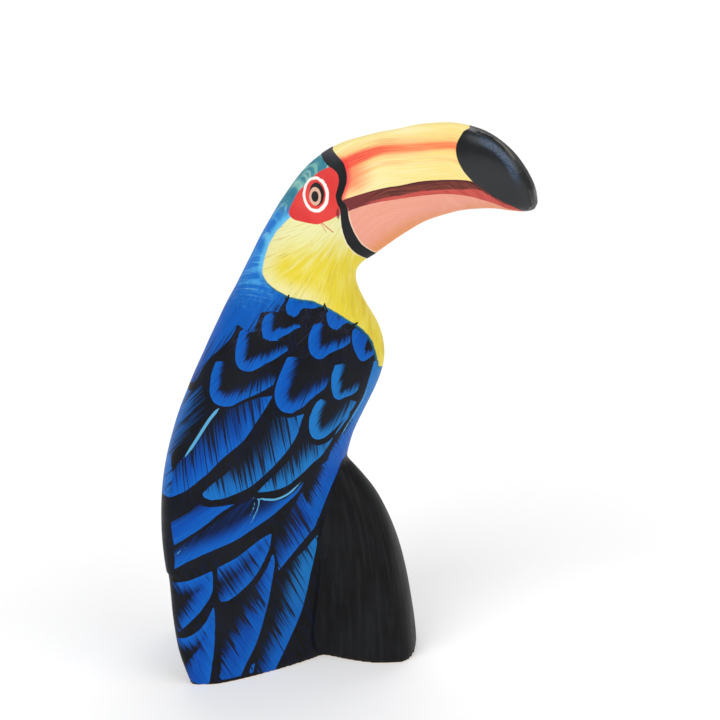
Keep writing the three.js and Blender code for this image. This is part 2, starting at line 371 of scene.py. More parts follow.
        "tip": [(-16, 71.6), (-15.2, 66.3), (-16.2, 59.4), (-17.6, 52.6), (-19, 44.8),
                (-21.2, 37.1), (-23.9, 28.5), (-26.6, 21.1), (-30.4, 13.9), (-34, 8.4),
                (-36.8, 3.2)],
        "root": [(-37, 2.1), (-49.3, 2.4), (-48.5, 8), (-47.1, 25.4), (-46.3, 41.1),
                 (-45.1, 43.2), (-37.4, 46.6), (-30.6, 51.1), (-24.6, 56.5), (-19.8, 63.4)],
        "bright": [2.1, 3.2, 3.2, 3.7, 4.8, 5.9, 7.5, 8.6, 9.6, 9.6, 9.6],
        "fade": 10.2, "barbs": 62, "bold": 1.7, "tone": 0,
    },
    "primary_5": {
        "tip": [(9.4, 94.4), (11.1, 86), (9.2, 81.4), (4.7, 77.4), (-0.3, 72.8), (-5.5, 67.8),
                (-10.4, 62.9), (-13.1, 60.4)],
        "root": [(-13.5, 67), (-15.2, 75.3), (-15, 83.1), (-13.1, 88.2), (-9.4, 89.6),
                 (-7.3, 92.3), (-4.3, 96.7), (-1.3, 101.2), (1.3, 104.9), (4.4, 98.8)],
        "bright": [6.4, 7, 6.4, 5.9, 4.3, 2.1, 1.1, 0.5],
        "fade": 12.8, "barbs": 63, "bold": 1.7, "tone": 0,
    },
    "primary_6": {
        "tip": [(11.2, 76.1), (10.6, 69), (9, 61.2), (6.4, 51.6), (4.6, 43.8), (1.8, 34.2),
                (-1.5, 26.9), (-5.9, 18.9), (-10.3, 10.9), (-14.7, 3.6), (-16, 0.2)],
        "root": [(-24.2, 0), (-27.7, 2.8), (-26.2, 10.8), (-24.7, 17.6), (-20.4, 29.8),
                 (-17.1, 41.2), (-15, 53.5), (-10.8, 57.8), (-4.9, 64), (2.3, 68.7),
                 (8.5, 74.1)],
        "bright": [2.1, 3.7, 4.8, 5.9, 6.4, 6.4, 5.9, 5.4, 4.8, 4.3, 4.3],
        "fade": 10.7, "barbs": 64, "bold": 1.7, "tone": ([0, 30, 60], [0.1, 0.4, 1]),
    },
    "primary_7": {
        "tip": [(-28.7, 7.8), (-29.9, 2.2)],
        "root": [(-32.6, 2.2), (-31.4, 6.6)],
        "bright": [1.6, 1.6],
        "fade": 2.7, "barbs": 64, "tone": 0,
    },
    "back": {
        "tip": [(-47.2, 241.9), (-53.9, 229.8), (-57.3, 218.2), (-62.1, 205.3), (-69.3, 192.5),
                (-75.6, 181.2), (-80.3, 171.1), (-83.4, 166.4)],
        "root": [(-75.5, 163.6), (-67, 163.4), (-60.2, 166.4), (-55.6, 173.2), (-51.5, 178.1),
                 (-45.5, 182.9), (-40, 187.6), (-36.3, 191), (-33.4, 195), (-31.6, 198.6),
                 (-28.4, 197.4), (-24.5, 194.8), (-21.6, 196.4), (-20.7, 199.3), (-19.2, 202.4),
                 (-17.2, 206), (-14.4, 206.4), (-12.6, 206.9), (-8.8, 206.4), (-6.8, 209.2),
                 (-4.3, 212.9), (-5, 215.8), (-8.2, 217), (-12.8, 219.7), (-17, 223.2),
                 (-20.9, 231.3), (-20.2, 239.3), (-15.5, 248.9)],
        "bright": [53, 52, 47, 35, 25, 19, 15, 13],
        "fade": [15, 15, 15, 15, 15, 15, 14, 12], "barbs": 128,
        "tone": ([168, 190, 215], [-0.35, -0.1, 0.25]), "rim": 0.3,
    },
    "tail_inner": {
        "tip": [(-91, 96), (-90, 70), (-91, 40), (-93, 10), (-94, 0)],
        "root": [(-101.5, 0), (-102.5, 40), (-101.5, 80), (-99, 97)],
        "bright": [5, 5, 5, 5, 5],
        "fade": 6, "barbs": 60, "tone": 0,
    },
    "tail_outer": {
        "tip": [(-83, 97), (-81.5, 86), (-81.5, 73), (-83, 64)],
        "root": [(-88.5, 64), (-88.5, 80), (-87, 96)],
        "bright": [4, 4, 4, 4],
        "fade": 6, "barbs": 60, "tone": 0,
    },
}

# Thin light edges on a few feathers, each with half its width.
LIGHT_LINES = [
    ([(-42.3, 156), (-47.6, 150), (-52.3, 143.4), (-57.6, 135.7), (-63.1, 128.4)], 0.8),
    ([(-23.4, 105.5), (-18.5, 104.1), (-13, 103.5), (-6.8, 105.5), (-2.1, 108.8), (1.4, 111.8)],
     0.6),
    ([(-26.7, 106), (-23.2, 104.8), (-23.7, 99.9), (-26.6, 93.9), (-29.6, 89)], 0.3),
    ([(-25.1, 104.1), (-26.4, 99.1), (-28.8, 94.7)], 0.3),
    ([(-70.3, 75.3), (-67.1, 78), (-63.6, 80.6)], 0.3),
    ([(25.5, 134.6), (29.3, 140.3), (33.3, 145.6), (37, 150.9), (40, 156.4), (41.7, 163)],
     0.35),
]

# The head, painted the same way on the side view, (x, z): a black band round the root of the
# beak, a red patch round the eye, a yellow bib and the colours of the beak. The corners lie off
# the bird and close the outlines.
RING_FRONT = [(26.5, 292), (23.9, 289.1), (24.3, 287.9), (26.8, 285.2), (29, 282.7),
              (30.2, 279.5), (30.8, 275.6), (30.3, 271.8), (28.9, 268), (27.7, 264.8),
              (28, 262.8), (29.9, 260.7), (30.7, 257.3), (31, 254), (32.2, 249.2),
              (34.6, 243.4), (37.2, 238.9), (40.4, 235.5), (44.5, 232.4), (50, 228)]
RING_REAR = [(42, 226), (39.2, 229.6), (36.3, 231.9), (33, 235.1), (29.8, 239.9), (28, 245),
             (27, 249.8), (26.7, 254.4), (26.5, 258.4), (25, 262.4), (24.5, 265.7),
             (25.3, 268.9), (26.4, 272.7), (26.1, 276.5), (24.3, 279.1), (21.7, 280.7),
             (19, 283.3), (17.4, 285.9), (16.5, 289), (17, 293)]
EYE_PATCH = [(21.7, 280.7), (19.4, 279.8), (16.7, 278.5), (14, 276.7), (11.2, 274.2),
             (8.5, 271.7), (5.7, 269.1), (3.3, 265.9), (1.5, 262.7), (-0.2, 259.6),
             (-0.6, 257.1), (0.7, 255.4), (2.6, 254.3), (6.6, 253.4), (10.5, 252.6),
             (14.4, 252), (17.1, 252.7), (21.1, 253.8), (24.1, 255.1), (26.4, 255.8), (31, 258),
             (31, 282), (26, 284)]
BIB = [(35, 259), (26.6, 255.4), (24.1, 256), (21.1, 256), (17.1, 256), (10.5, 256), (2.6, 256),
       (-0.4, 255.1), (-3.5, 252), (-7, 248.5), (-9.9, 244.5), (-12, 240.6), (-14, 235.4),
       (-15.5, 230.3), (-15.9, 226.5), (-14.7, 223.5), (-12.1, 220.5), (-8.1, 217.7),
       (-4.8, 216), (-1.6, 214.5), (3.6, 213), (9.8, 211.8), (14.1, 209.6), (18.4, 207.1),
       (23.6, 203.6), (28.8, 199.3), (33.2, 195.9), (37.5, 191.5), (41, 186.2), (43, 179.3),
       (44.2, 173.3), (46, 169), (60, 160), (75, 190), (60, 240)]
TIP = [(98.6, 305), (97, 298.1), (93.4, 296.4), (91.1, 293.6), (89.4, 290.7), (88.7, 287.1),
       (89.2, 282.9), (90.7, 279.1), (92.8, 275.3), (97.5, 269.7), (101.2, 266.8),
       (106.5, 262.7), (111.9, 259), (117.4, 255.9), (123, 252.5), (131, 249)]
MOUTH_TOP = [(24, 262), (29.9, 263.9), (34.7, 265.1), (40, 266.4), (48, 268.1), (53.4, 269),
             (58.7, 269.5), (69.3, 271.2), (79.9, 271.5), (90.6, 271.1), (97.5, 269.7),
             (103.9, 266), (114.6, 259), (128, 253.5)]
MOUTH_LOW = [(128, 250.5), (117, 253.2), (113.7, 254.7), (106.6, 258), (98.5, 260.8),
             (90.5, 262.9), (79.8, 263.9), (69.1, 263.4), (58.5, 262.3), (47.8, 261.2),
             (37.1, 259.1), (30.2, 257), (28, 256)]
STREAK = [(24, 278.2), (28.9, 280.9), (32.7, 283.1), (38, 285.2), (43.4, 287.1), (48.7, 288.4),
          (54, 288.8), (59.3, 288.9), (64.5, 289), (69.8, 289.3), (75.1, 289.7), (80.4, 289.7),
          (88.8, 289.1), (100, 284), (112, 275)]
BEAK_UNDERSIDE = [(38, 227), (47.2, 233.3), (58.2, 240.6), (69.1, 247.5), (79.9, 251.4),
                  (90.7, 253.8), (101.4, 255.1), (117.6, 253.3), (130, 250)]
BEAK_CORNERS = [(160, 200), (160, 330)]
TIP_CORNERS = [(160, 240), (160, 320)]
ABOVE_CORNERS = [(160, 330), (-60, 330)]
BELOW_CORNERS = [(160, 200), (-60, 200)]


def closed(line, corners):
    """A smooth line, closed by straight runs through these corners."""
    return np.vstack([curve(line), corners])


def head_marks(side):
    """Signed distances on the head, three to a vector, for the paint to read."""
    ring = within(side, np.vstack([curve(RING_FRONT), curve(RING_REAR)]))
    beak = within(side, closed(RING_FRONT, BEAK_CORNERS))
    patch = within(side, curve(EYE_PATCH))
    bib = within(side, curve(BIB))
    tip = within(side, closed(TIP, TIP_CORNERS))
    mouth = within(side, np.vstack([curve(MOUTH_TOP), curve(MOUTH_LOW)]))
    gape = -within(side, closed(MOUTH_TOP, ABOVE_CORNERS))
    _, along = nearest(side, curve(STREAK))
    above = within(side, closed(STREAK, BELOW_CORNERS))
    under, _ = nearest(side, curve(BEAK_UNDERSIDE))
    cheek = within(side, closed(TIP_RIM, CHEEK_CORNERS))
    return {
        "head_face": (bib, patch, ring),
        "head_beak": (beak, mouth, tip),
        "head_streak": (-above, along, gape),
        "head_low": (under, cheek, np.zeros(len(side))),
    }


# The knife work: a groove between wing and leg block, a bevelled rim on the beak's tip, a small
# step at the back, the black band a little proud, the faint waves that a knife and sandpaper
# leave, and the foot drawn down to the flat that the saw left.
def knife_work(mesh):
    spots = places(mesh)
    side = spots[:, [0, 2]]
    head = head_marks(side)
    normal = np.zeros(len(spots) * 3)
    mesh.vertices.foreach_get("normal", normal)
    normal = normal.reshape(-1, 3)
    x, y, z = spots.T
    cut, _ = nearest(side, curve(GROOVE))
    on_flank = ease(np.abs(y), 8, 14)
    depth = -GROOVE_DEEP * (1 - ease(cut, 0.2, 1.8)) * on_flank
    rim, _ = nearest(side, curve(TIP_RIM))
    bevel = -RIM_DEEP * ease(rim, 0, 2.2)
    hollow = -CHEEK_DEEP * (1 - ease(rim, 0, 4))
    on_tip = ease(np.abs(y), 1.5, 4) * ease(x, 94, 100)
    depth += np.where(head["head_low"][1] < 0, bevel, hollow) * on_tip
    depth += -BACK_STEP_DEEP * ease(z, 38, 60) * (1 - ease(z, 62, 64)) * ease(-x, 58, 70)
    depth += BAND_PROUD * ease(head["head_face"][2], -0.5, 0.4)
    depth += KNIFE_WAVE * (np.sin(x / 5.1 + z / 9 + 1.1) * np.sin(z / 8.3 - y / 6.2)
                           + 0.7 * np.sin(x / 2.9 - z / 13 + y / 4.4))
    depth *= ease(z, SAW_CUT, KNIFE_FROM)
    spots += normal * depth[:, None]
    drawn = np.interp(z, [SAW_CUT, FOOT_BLEND], [0, FOOT_BLEND])
    spots[:, 2] += np.where(z < FOOT_BLEND, drawn - z, 0)
    spots[z < SAW_CUT + 0.001, 2] = 0
    mesh.vertices.foreach_set("co", (spots / 1000).ravel())


# A feather's outline is only measured from this near, everything else counts as far off, and
# the marks of the head count above this height.
NEAR_BY = 8
FAR_OFF = 30.0
HEAD_FROM = 165


def feather_fields(mesh):
    """For each vertex, its rolled-out place and how deep it is inside each feather."""
    rolled = rolled_out(places(mesh))
    depth = np.full((len(FEATHERS), len(rolled)), -FAR_OFF)
    for i, feather in enumerate(FEATHERS.values()):
        outline = np.vstack([curve(feather["tip"]), curve(feather["root"])])
        low, high = outline.min(0) - NEAR_BY, outline.max(0) + NEAR_BY
        close = np.all((rolled > low) & (rolled < high), axis=1)
        depth[i, close] = within(rolled[close], outline)
    return rolled, depth


def refine(mesh, reach):
    """Splits the faces that a painted edge runs through, so that the edge stays crisp."""
    side = places(mesh)[:, [0, 2]]
    rolled, depth = feather_fields(mesh)
    head = head_marks(side)
    edge = np.abs(depth).min(0)
    for mark in (*head["head_face"], *head["head_beak"][1:]):
        edge = np.minimum(edge, np.where(side[:, 1] > HEAD_FROM, np.abs(mark), FAR_OFF))
    edge = np.minimum(edge, nearest(side, curve(TIP_RIM))[0])
    for line, _ in LIGHT_LINES:
        edge = np.minimum(edge, nearest(rolled, curve(line))[0])
    bpy.ops.object.mode_set(mode="EDIT")
    bpy.ops.mesh.select_all(action="DESELECT")
    bpy.ops.object.mode_set(mode="OBJECT")
    close = edge < reach
    for face in mesh.polygons:
        face.select = any(close[v] for v in face.vertices)
    bpy.ops.object.mode_set(mode="EDIT")
    bpy.ops.mesh.subdivide(number_cuts=1, quadcorner="INNERVERT")
    bpy.ops.mesh.select_all(action="DESELECT")
    bpy.ops.object.mode_set(mode="OBJECT")


refine(carving.data, REFINE_NEAR_EDGE)
knife_work(carving.data)
bpy.ops.object.shade_smooth()
pick_foot_edge()
bpy.ops.mesh.mark_sharp()
bpy.ops.mesh.select_all(action="DESELECT")
bpy.ops.object.mode_set(mode="OBJECT")

mesh = carving.data
side = places(mesh)[:, [0, 2]]
rolled, depth = feather_fields(mesh)
fields = head_marks(side)

# The leg block lies in front of the groove. A light edge swells over its first millimetres and
# thins over its last ones, and its ends are a fifth of its width.
LEG_CORNERS = [(6.4, -20), (120, -20), (120, 119.7)]
LINE_SWELLS, LINE_THINS, LINE_END = 4, 9, 0.2

legs = within(side, closed(GROOVE, LEG_CORNERS))
lines = np.full(len(side), -FAR_OFF)
for line, half in LIGHT_LINES:
    reach, along = nearest(rolled, curve(line))
    taper = np.minimum((along.max() - along) / LINE_THINS, along / LINE_SWELLS)
    lines = np.maximum(lines, half * np.clip(taper + LINE_END, 0, 1) - reach)
fields["wing"] = (depth.max(0), lines, legs)

# Each face belongs to the feather that it lies deepest in. Its corners keep how frayed the blue
# is there, the rim and the tone in "hatch", and the place across and down the strokes and the
# feather's seed in "barb". A negative seed marks a feather with soft strokes. A fan opens from
# ahead of the middle of the feather's tip, and above its lowest place.
FAN_AHEAD, FAN_ABOVE, FAN_REACH = 20, 38, 44
RIM_WIDE = 7
SEED_STEP = 3.7

corners = len(mesh.loops)
corner_spot = np.zeros(corners, int)
mesh.loops.foreach_get("vertex_index", corner_spot)
face_size = np.array([face.loop_total for face in mesh.polygons])
corner_face = np.repeat(np.arange(len(face_size)), face_size)
face_depth = np.zeros((len(FEATHERS), len(face_size)))
for i in range(len(FEATHERS)):
    face_depth[i] = np.bincount(corner_face, depth[i, corner_spot]) / face_size
corner_feather = face_depth.argmax(0)[corner_face]
hatch = np.zeros((corners, 3))
barb = np.zeros((corners, 3))
for i, feather in enumerate(FEATHERS.values()):
    mine = np.flatnonzero(corner_feather == i)
    used, back = np.unique(corner_spot[mine], return_inverse=True)
    tip = curve(feather["tip"])
    reach, along = nearest(rolled[used], tip)
    runs = np.linspace(0, np.hypot(*np.diff(tip, axis=0).T).sum(), len(feather["bright"]))
    bright = np.interp(along, runs, feather["bright"])
    fading = np.interp(along, np.linspace(0, runs[-1], np.size(feather["fade"])),
                       np.atleast_1d(feather["fade"]))
    fraying = (reach - bright) / fading
    p, q = rolled[used].T
    if feather["barbs"] == "fan":
        from_p = p - tip[:, 0].mean() - FAN_AHEAD
        from_q = q - tip[:, 1].min() - FAN_ABOVE
        across = np.arctan2(from_p, -from_q) * FAN_REACH
        down = np.hypot(from_p, from_q)
    else:
        turn = math.radians(feather["barbs"])
        across = p * math.sin(turn) + q * math.cos(turn)
        down = p * math.cos(turn) - q * math.sin(turn)
    across = across / feather.get("bold", 1)
    rim = feather.get("rim", np.clip(reach / RIM_WIDE, 0, 1))
    tone = feather["tone"]
    if isinstance(tone, tuple):
        tone = np.interp(q, *tone)
    seed = -i - 1.0 if "soft" in feather else i * SEED_STEP
    for corner, columns in ((hatch, (fraying, rim, tone)), (barb, (across, down, seed))):
        corner[mine] = np.column_stack(np.broadcast_arrays(*columns))[back]

MARK_LIMITS = (-40, 150)
for name, columns in fields.items():
    layer = mesh.attributes.new(name, "FLOAT_VECTOR", "POINT")
    layer.data.foreach_set("vector", np.clip(np.column_stack(columns), *MARK_LIMITS).ravel())
for name, columns in (("hatch", hatch), ("barb", barb)):
    layer = mesh.attributes.new(name, "FLOAT_VECTOR", "CORNER")
    layer.data.foreach_set("vector", columns.ravel())

# The finish: acrylic paint laid on with small flat and round brushes in thin coats, so the
# strokes show, under a satin varnish. The sawn underside is left bare.
paint = bpy.data.materials.new("painted_wood")
paint.use_nodes = True
nodes, links = paint.node_tree.nodes, paint.node_tree.links
nodes.clear()


def put(kind, plugs, out=0, **settings):
    """Adds a shader node, fills its sockets and gives one of its outputs."""
    node = nodes.new("ShaderNode" + kind)
    for name, value in settings.items():
        setattr(node, name, value)
    for socket, value in plugs.items():
        if isinstance(value, bpy.types.NodeSocket):
            links.new(value, node.inputs[socket])
        else:
            node.inputs[socket].default_value = value
    return node.outputs[out]


def calc(how, *values):
    return put("Math", dict(enumerate(values)), operation=how)


def plus(value, more):
    return calc("ADD", value, more)


def minus(value, less):
    return calc("SUBTRACT", value, less)


def times(value, factor):
    return calc("MULTIPLY", value, factor)


def off(value, middle):
    """How far a value is from a middle, on either side."""
    return calc("ABSOLUTE", minus(value, middle))


def distance(run, rise):
    return calc("SQRT", plus(times(run, run), times(rise, rise)))


def fade(value, start, end):
    """0 at start, 1 at end, and smooth between."""
    return put("MapRange", {0: value, 1: start, 2: end}, interpolation_type="SMOOTHSTEP")


def over(cover, below, above, strength=1):
    """Lays a coat of colour, of this strength, over another where the cover is 1."""
    if strength < 1:
        cover = times(cover, strength)
    return put("Mix", {0: cover, 6: below, 7: above}, out=2, data_type="RGBA")


def pigment(red, green, blue):
    """A paint colour from its 0-255 screen values."""
    def linear(c):
        c /= 255
        return c / 12.92 if c <= 0.04045 else ((c + 0.055) / 1.055) ** 2.4
    return (linear(red), linear(green), linear(blue), 1)


def parts_of(vector):
    split = nodes.new("ShaderNodeSeparateXYZ")
    links.new(vector, split.inputs[0])
    return split.outputs[0], split.outputs[1], split.outputs[2]


def field(name):
    return parts_of(put("Attribute", {}, out=1, attribute_name=name))


def brush(across, along, seed, hairs, stroke, detail=2.0):
    """Brush strokes: hairs per mm across the stroke, and strokes per mm along it."""
    where = put("CombineXYZ", {0: times(across, hairs), 1: times(along, stroke), 2: seed})
    return put("TexNoise", {"Vector": where, "Scale": 1.0, "Detail": detail, "Roughness": 0.55})


def edge_of(mark, soft=0.16):
    return fade(mark, -soft, soft)


def invert(value):
    return minus(1.0, value)


place = put("VectorMath", {0: put("TexCoord", {}, out=3), 1: (1000, 1000, 1000)},
            operation="MULTIPLY")
x, y, z = parts_of(place)
wobble = put("TexNoise", {"Vector": place, "Scale": 0.35, "Detail": 2.0})
wobble = minus(wobble, 0.5)
cloud = put("TexNoise", {"Vector": place, "Scale": 0.045, "Detail": 3.0})

# The feathers: blue strokes that thin out into black, with frayed ends and a lighter rim.
feather, light_line, leg = field("wing")
fraying, rim, tone = field("hatch")
across, down, seed = field("barb")
feather = plus(feather, times(wobble, 0.5))
soft = fade(seed, -0.1, -0.9)
ends = brush(across, down, seed, 0.9, 0.012)
ends = times(minus(ends, 0.47), 4.0)
fine = brush(across, down, plus(seed, 50.0), 1.3, 0.028)
scratch = brush(across, down, plus(seed, 20.0), 2.0, 0.03)
hair = plus(fine, times(minus(fraying, ends), 0.24))
dark = times(fade(hair, 0.56, 0.66), invert(soft))
thin_dark = times(fade(scratch, 0.56, 0.64), fade(minus(fraying, times(ends, 0.6)), -0.5, 0.2))
thin_dark = times(thin_dark, invert(soft))
wash = fade(plus(fraying, times(soft, 0.4)), -0.1, 1.05)
soft_coat = brush(across, down, plus(seed, 9.0), 0.25, 0.02)
blue = over(rim, pigment(6, 98, 192), pigment(0, 72, 168))
blue = over(fade(soft_coat, 0.45, 0.7), blue, pigment(2, 94, 190), 0.5)
blue = over(fade(fine, 0.42, 0.7), blue, pigment(0, 60, 150), 0.4)
blue = over(fade(scratch, 0.48, 0.36), blue, pigment(6, 108, 204), 0.4)
blue = over(fade(tone, 0.0, 1.0), blue, pigment(28, 124, 196), 0.8)
blue = over(fade(tone, 0.0, -1.0), blue, pigment(10, 66, 178), 0.8)
black = over(fade(cloud, 0.35, 0.7), pigment(15, 15, 16), pigment(23, 24, 27))
root = over(fade(fine, 0.47, 0.57), pigment(10, 12, 20), pigment(6, 36, 92), 0.75)
blue = over(wash, blue, root, 0.96)
blue = over(thin_dark, blue, pigment(6, 14, 34), 0.75)
blue = over(dark, blue, black, 0.94)
gap = over(fade(fine, 0.5, 0.58), black, pigment(10, 24, 58), 0.5)
dry = times(fade(scratch, 0.54, 0.66), fade(z, 176, 200))
gap = over(dry, gap, pigment(70, 66, 92), 0.55)
wing = over(edge_of(feather), gap, blue)
wing = over(edge_of(light_line, 0.12), wing, pigment(92, 170, 214))

# Nape and crown: the same blue growing teal and lighter upwards, with long pale strokes.
slope = plus(times(x, 0.34), times(z, 0.94))
cross = minus(times(x, 0.94), times(z, 0.34))
slope = plus(slope, times(y, 0.45))
lean = minus(times(x, 0.86), times(z, 0.5))
lean = plus(lean, times(y, 0.45))
rise = plus(times(x, 0.5), times(z, 0.86))
turned = fade(z, 228, 242)
wide = put("Mix",
           {0: turned, 2: brush(slope, cross, 2.0, 0.3, 0.05),
            3: brush(lean, rise, 3.0, 0.42, 0.09)})
thin = put("Mix",
           {0: turned, 2: brush(slope, cross, 7.0, 0.85, 0.06),
            3: brush(lean, rise, 5.0, 1.0, 0.13)})
nape = over(fade(wide, 0.5, 0.64), pigment(34, 122, 210), pigment(74, 164, 230))
nape = over(fade(thin, 0.55, 0.68), nape, pigment(130, 204, 240), 0.7)
nape = over(fade(thin, 0.42, 0.32), nape, pigment(24, 100, 190), 0.5)
crown = over(fade(wide, 0.44, 0.6), pigment(62, 136, 154), pigment(118, 182, 176))
crown = over(fade(thin, 0.52, 0.66), crown, pigment(166, 212, 200), 0.6)
crown = over(fade(thin, 0.44, 0.34), crown, pigment(40, 112, 150), 0.6)
head = over(fade(plus(z, times(wobble, 14.0)), 252, 266), nape, crown)
fore = times(calc("MAXIMUM", plus(x, 12.0), 0.0), 1.2)
up_nape = minus(plus(z, times(wobble, 22.0)), fore)
colour = over(fade(up_nape, 206, 230), wing, head)

# The leg and belly block, and the bib with a fan of fine strokes from the root of the beak.
leg_stroke = brush(plus(x, times(y, 0.7)), z, 12.0, 0.4, 0.03)
leg_black = over(fade(leg_stroke, 0.45, 0.65), black, pigment(30, 31, 33), 0.7)
# Painted shade: the front of the leg block, towards its right rim, is painted a darker black.
leg_black = over(fade(x, 48, 60), leg_black, pigment(11, 11, 12), 0.8)
colour = over(edge_of(leg, 0.25), colour, leg_black)
bib, patch, ring = field("head_face")
beak, mouth, tip = field("head_beak")
streak, along, gape = field("head_streak")
under, cheek, _ = field("head_low")
low = calc("MAXIMUM", minus(226.0, z), 0.0)
from_beak_x = minus(minus(x, 37.0), times(low, 0.35))
from_beak_z = minus(z, 268.0)
fan = times(calc("ARCTAN2", from_beak_x, times(from_beak_z, -1.0)), 26.0)
spread = distance(from_beak_x, from_beak_z)
bent = plus(fan, times(spread, 0.08))
fan_hair = brush(bent, spread, 1.0, 0.8, 0.05)
fan_fine = brush(bent, spread, 4.0, 2.0, 0.07)
yellow = over(fade(plus(z, times(minus(fan_hair, 0.5), 26.0)), 249, 229),
              pigment(238, 237, 176), pigment(234, 214, 62))
pale_edge = times(fade(plus(bib, times(fan_hair, 8.0)), 15, 5), fade(x, 24, 4))
yellow = over(pale_edge, yellow, pigment(240, 236, 176), 0.75)
yellow = over(fade(fan_hair, 0.5, 0.66), yellow, pigment(243, 235, 138), 0.25)
yellow = over(fade(fan_fine, 0.54, 0.66), yellow, pigment(208, 184, 76), 0.4)
yellow = over(fade(fan_fine, 0.44, 0.34), yellow, pigment(246, 238, 160), 0.22)
halo = times(fade(plus(bib, times(wobble, 1.5)), -3.4, -0.8), fade(z, 218, 232))
colour = over(halo, colour, pigment(106, 200, 246), 0.85)
teal_edge = times(fade(bib, -1.6, -0.4), fade(z, 228, 214))
colour = over(teal_edge, colour, pigment(24, 112, 140), 0.8)
colour = over(edge_of(plus(bib, times(wobble, 0.6)), 0.3), colour, yellow)


def touch(start, end, half):
    """A thin straight touch of the brush between two places on the side."""
    run = math.hypot(end[0] - start[0], end[1] - start[1])
    lean_x, lean_z = (end[0] - start[0]) / run, (end[1] - start[1]) / run
    off_x, off_z = minus(x, start[0]), minus(z, start[1])
    far = plus(times(off_x, lean_x), times(off_z, lean_z))
    far = calc("MAXIMUM", calc("MINIMUM", far, run), 0.0)
    off_x = minus(off_x, times(far, lean_x))
    off_z = minus(off_z, times(far, lean_z))
    reach = distance(off_x, off_z)
    return fade(reach, half + 0.15, half - 0.15)


# Black spikes over the bib's edge, and two fine red strokes below the patch: from, to and half
# the width.
SPIKES = [
    ((13.4, 205.2), (15.9, 208.2), 0.35), ((15.4, 205.4), (16.5, 209.5), 0.4),
    ((17.9, 205.2), (16.8, 208.8), 0.35), ((28.2, 195.3), (33.4, 196.7), 0.55),
    ((-3.4, 211.8), (-2.2, 215.2), 0.45),
]
for start, end, half in SPIKES:
    colour = over(touch(start, end, half), colour, black)
colour = over(touch((15.8, 253), (18.9, 247.6), 0.2), colour, pigment(220, 112, 84), 0.7)
colour = over(touch((16.3, 253), (22.4, 247.3), 0.3), colour, pigment(214, 96, 80), 0.8)

# The red eye patch, with the eye painted on it in rings.
red = over(fade(cloud, 0.4, 0.62), pigment(222, 60, 58), pigment(232, 72, 68))
colour = over(edge_of(plus(patch, times(wobble, 0.3))), colour, red)


def oval(centre_x, centre_z, half_wide, half_high, ripple=0.04):
    """Less than 1 inside an oval with a hand-painted edge."""
    across = calc("DIVIDE", minus(x, centre_x), half_wide)
    up = calc("DIVIDE", minus(z, centre_z), half_high)
    reach = distance(across, up)
    return plus(reach, times(wobble, ripple * 4))


def dab(reach, soft=0.05):
    return fade(reach, 1 + soft, 1 - soft)


eye_white = over(cloud, pigment(244, 242, 236), pigment(252, 250, 246))
colour = over(dab(oval(14.1, 267.0, 6.9, 8.9), 0.03), colour, eye_white)
colour = over(dab(oval(13.9, 267.2, 5.3, 7.3), 0.03), colour, red)
colour = over(dab(oval(14.5, 267.3, 3.9, 5.8), 0.04), colour, pigment(34, 32, 32))
colour = over(dab(oval(13.7, 266.3, 3.1, 4.6), 0.04), colour, pigment(226, 182, 158))
colour = over(dab(oval(13.6, 266.2, 1.9, 2.7), 0.06), colour, pigment(36, 36, 36))

# The beak: cream yellow above, an orange streak brushed along it, salmon below, a maroon gape.
along_hair = brush(streak, along, 6.0, 0.75, 0.03)
along_fine = brush(streak, along, 8.0, 1.9, 0.05)
cream = over(fade(along_hair, 0.42, 0.62), pigment(249, 230, 150), pigment(252, 238, 176))
peach = times(fade(off(streak, 0.5), 7.5, 1.5), fade(along_hair, 0.25, 0.55))
cream = over(peach, cream, pigment(252, 184, 118), 0.8)
cream = over(fade(x, 60, 86), cream, pigment(251, 222, 130), 0.5)
second = times(fade(off(streak, -7.2), 2.4, 0.4), fade(along_fine, 0.4, 0.6))
cream = over(second, cream, pigment(250, 172, 112), 0.5)
near_ring = fade(plus(beak, times(along_hair, 6.0)), 21, 4)
smear = times(near_ring, fade(off(z, 275.5), 13, 3))
cream = over(smear, cream, pigment(250, 124, 92), 0.85)
blush = times(fade(plus(beak, times(along_fine, 2.0)), 4.4, 1.2), fade(z, 287, 283))
cream = over(blush, cream, pigment(244, 78, 82), 0.85)
core = plus(calc("ABSOLUTE", streak), times(along_fine, 1.6))
core = fade(minus(core, fade(along, 34, 14)), 3.9, 1.7)
core_red = over(fade(along, 40, 16), pigment(252, 124, 84), pigment(245, 66, 62))
core = times(core, put("MapRange", {0: along_fine, 1: 0.36, 2: 0.56, 3: 0.66, 4: 0.95}))
cream = over(core, cream, core_red)
hairline = times(fade(off(streak, 1.0), 6.5, 2.0),
                 fade(brush(streak, along, 15.0, 2.6, 0.05), 0.55, 0.66))
cream = over(hairline, cream, pigment(224, 100, 62), 0.45)
salmon = over(fade(along_hair, 0.4, 0.65), pigment(239, 163, 141), pigment(242, 169, 148))
# Orange towards the underside edge of the beak's lower half, in a band that narrows towards the
# tip.
toward_underside = plus(under, plus(times(wobble, 4.0), times(fade(x, 50, 88), 5.5)))
salmon = over(fade(toward_underside, 10, 1.5), salmon, pigment(236, 153, 98), 0.9)
bill = over(edge_of(gape), cream, salmon)
red_from = minus(5.2, times(fade(x, 90, 104), 3.0))
lip = minus(plus(gape, times(wobble, 1.0)), red_from)
maroon = over(fade(along_fine, 0.42, 0.62), pigment(94, 48, 46), pigment(138, 72, 60))
maroon = over(fade(gape, 1.1, 0.3), maroon, pigment(80, 30, 38))
lip_red = over(fade(along_fine, 0.4, 0.62), pigment(212, 94, 86), pigment(190, 76, 70))
maroon = over(fade(lip, -0.5, 0.5), maroon, lip_red)
maroon = over(fade(x, 50, 36), maroon, pigment(122, 54, 56))
bill = over(edge_of(plus(mouth, times(wobble, 0.3))), bill, maroon)
